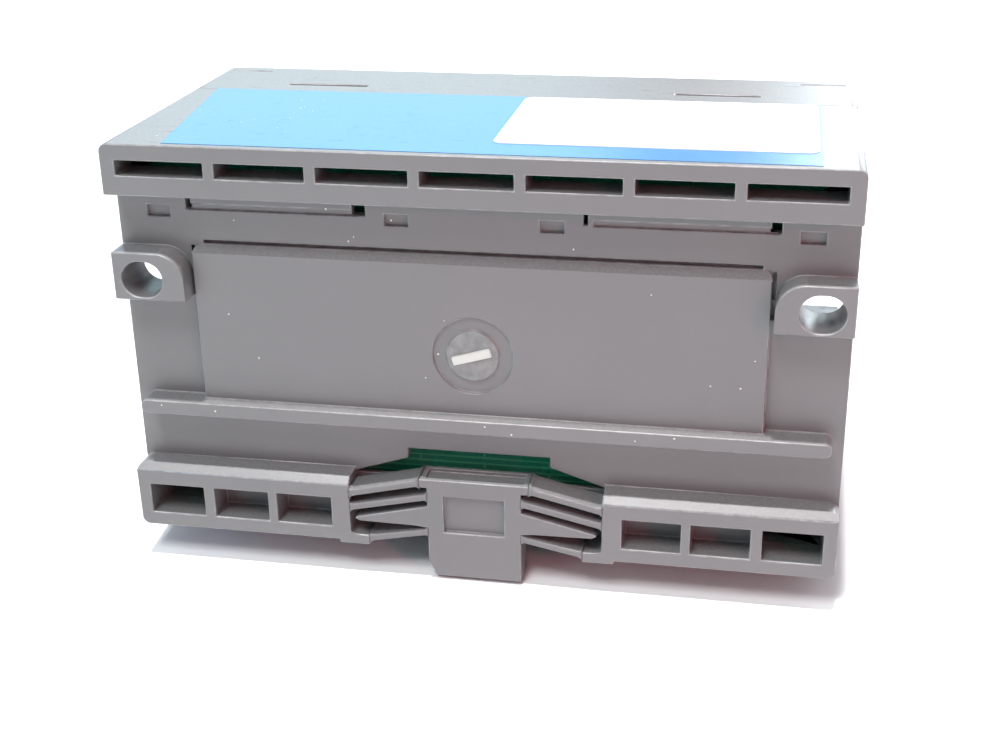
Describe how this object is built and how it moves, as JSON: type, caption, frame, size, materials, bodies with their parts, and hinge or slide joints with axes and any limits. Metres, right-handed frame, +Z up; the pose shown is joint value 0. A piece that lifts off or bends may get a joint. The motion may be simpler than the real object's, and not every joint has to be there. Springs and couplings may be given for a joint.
{
  "type": "plc module",
  "caption": "Compact rail-mounted remote I/O module for a programmable controller: snap-fit casing, sprung rail latch, removable terminal block, setting switch and status lamps.",
  "frame": {"origin": "midpoint between the two panel screw holes, on the mounting plane behind the module", "axes": "+X along the rail, +Y out of the rear face towards the wall, +Z up; the front faces -Y"},
  "size_m": [0.0874, 0.0441, 0.0542],
  "materials": {
    "casing_plastic": "fine grained, slightly glossy warm grey moulding",
    "window_plastic": "smoked, polished",
    "label_film": "printed blue film",
    "sticker_film": "white film",
    "legend_film": "pale film",
    "board_laminate": "green solder mask",
    "header_plastic": "black moulding",
    "chip_plastic": "black moulding",
    "capacitor_can": "sleeved can",
    "crystal_can": "drawn can",
    "lamp_plastic": "moulded lens",
    "light_guide_plastic": "clear moulding",
    "switch_plastic": "red moulding",
    "lever_plastic": "white moulding",
    "terminal_plastic": "black moulding",
    "contact_metal": "tinned brass",
    "screw_steel": "zinc plated"
  },
  "bodies": {
    "casing": {"rear_casing": "casing_plastic", "front_cover": "casing_plastic", "leaf_springs_left": "casing_plastic", "leaf_springs_right": "casing_plastic", "display_window": "window_plastic", "name_label": "label_film", "serial_sticker": "sticker_film", "upper_legend_strip": "legend_film", "lower_legend_strip": "legend_film", "main_board": "board_laminate", "front_board": "board_laminate", "board_header": "header_plastic", "controller_chip": "chip_plastic", "interface_chips": "chip_plastic", "photocouplers": "chip_plastic", "power_converter": "chip_plastic", "passive_parts": "chip_plastic", "capacitors": "capacitor_can", "crystal": "crystal_can", "status_lamps": "lamp_plastic", "light_guides": "light_guide_plastic", "switch_body": "switch_plastic", "io_block": "terminal_plastic", "plug_socket": "terminal_plastic", "io_contacts": "contact_metal", "socket_pins": "contact_metal", "jack_nuts": "contact_metal", "io_washers": "screw_steel", "io_screws": "screw_steel"},
    "latch": {"rail_latch": "casing_plastic"},
    "plug": {"plug_block": "terminal_plastic", "plug_contacts": "contact_metal", "plug_washers": "screw_steel", "plug_screws": "screw_steel", "plug_jack_screws": "screw_steel"},
    "lever_1": {"lever_1": "lever_plastic"},
    "lever_2": {"lever_2": "lever_plastic"},
    "lever_3": {"lever_3": "lever_plastic"},
    "lever_4": {"lever_4": "lever_plastic"},
    "lever_5": {"lever_5": "lever_plastic"},
    "lever_6": {"lever_6": "lever_plastic"},
    "lever_7": {"lever_7": "lever_plastic"},
    "lever_8": {"lever_8": "lever_plastic"}
  },
  "joints": [
    {"name": "latch_slide", "type": "slide", "parent": "casing", "child": "latch", "axis": [0, 0, -1], "range_m": [0, 0.0018], "stiffness_N_per_m": 1500, "deforming": ["leaf_springs_left", "leaf_springs_right"]},
    {"name": "plug_slide", "type": "slide", "parent": "casing", "child": "plug", "axis": [0, -1, 0], "range_m": [0, 0.015]},
    {"name": "lever_1_slide", "type": "slide", "parent": "casing", "child": "lever_1", "axis": [0, 0, 1], "range_m": [0, 0.001]},
    {"name": "lever_2_slide", "type": "slide", "parent": "casing", "child": "lever_2", "axis": [0, 0, 1], "range_m": [0, 0.001]},
    {"name": "lever_3_slide", "type": "slide", "parent": "casing", "child": "lever_3", "axis": [0, 0, 1], "range_m": [0, 0.001]},
    {"name": "lever_4_slide", "type": "slide", "parent": "casing", "child": "lever_4", "axis": [0, 0, 1], "range_m": [0, 0.001]},
    {"name": "lever_5_slide", "type": "slide", "parent": "casing", "child": "lever_5", "axis": [0, 0, 1], "range_m": [0, 0.001]},
    {"name": "lever_6_slide", "type": "slide", "parent": "casing", "child": "lever_6", "axis": [0, 0, 1], "range_m": [0, 0.001]},
    {"name": "lever_7_slide", "type": "slide", "parent": "casing", "child": "lever_7", "axis": [0, 0, 1], "range_m": [0, 0.001]},
    {"name": "lever_8_slide", "type": "slide", "parent": "casing", "child": "lever_8", "axis": [0, 0, 1], "range_m": [0, 0.001]}
  ]
}
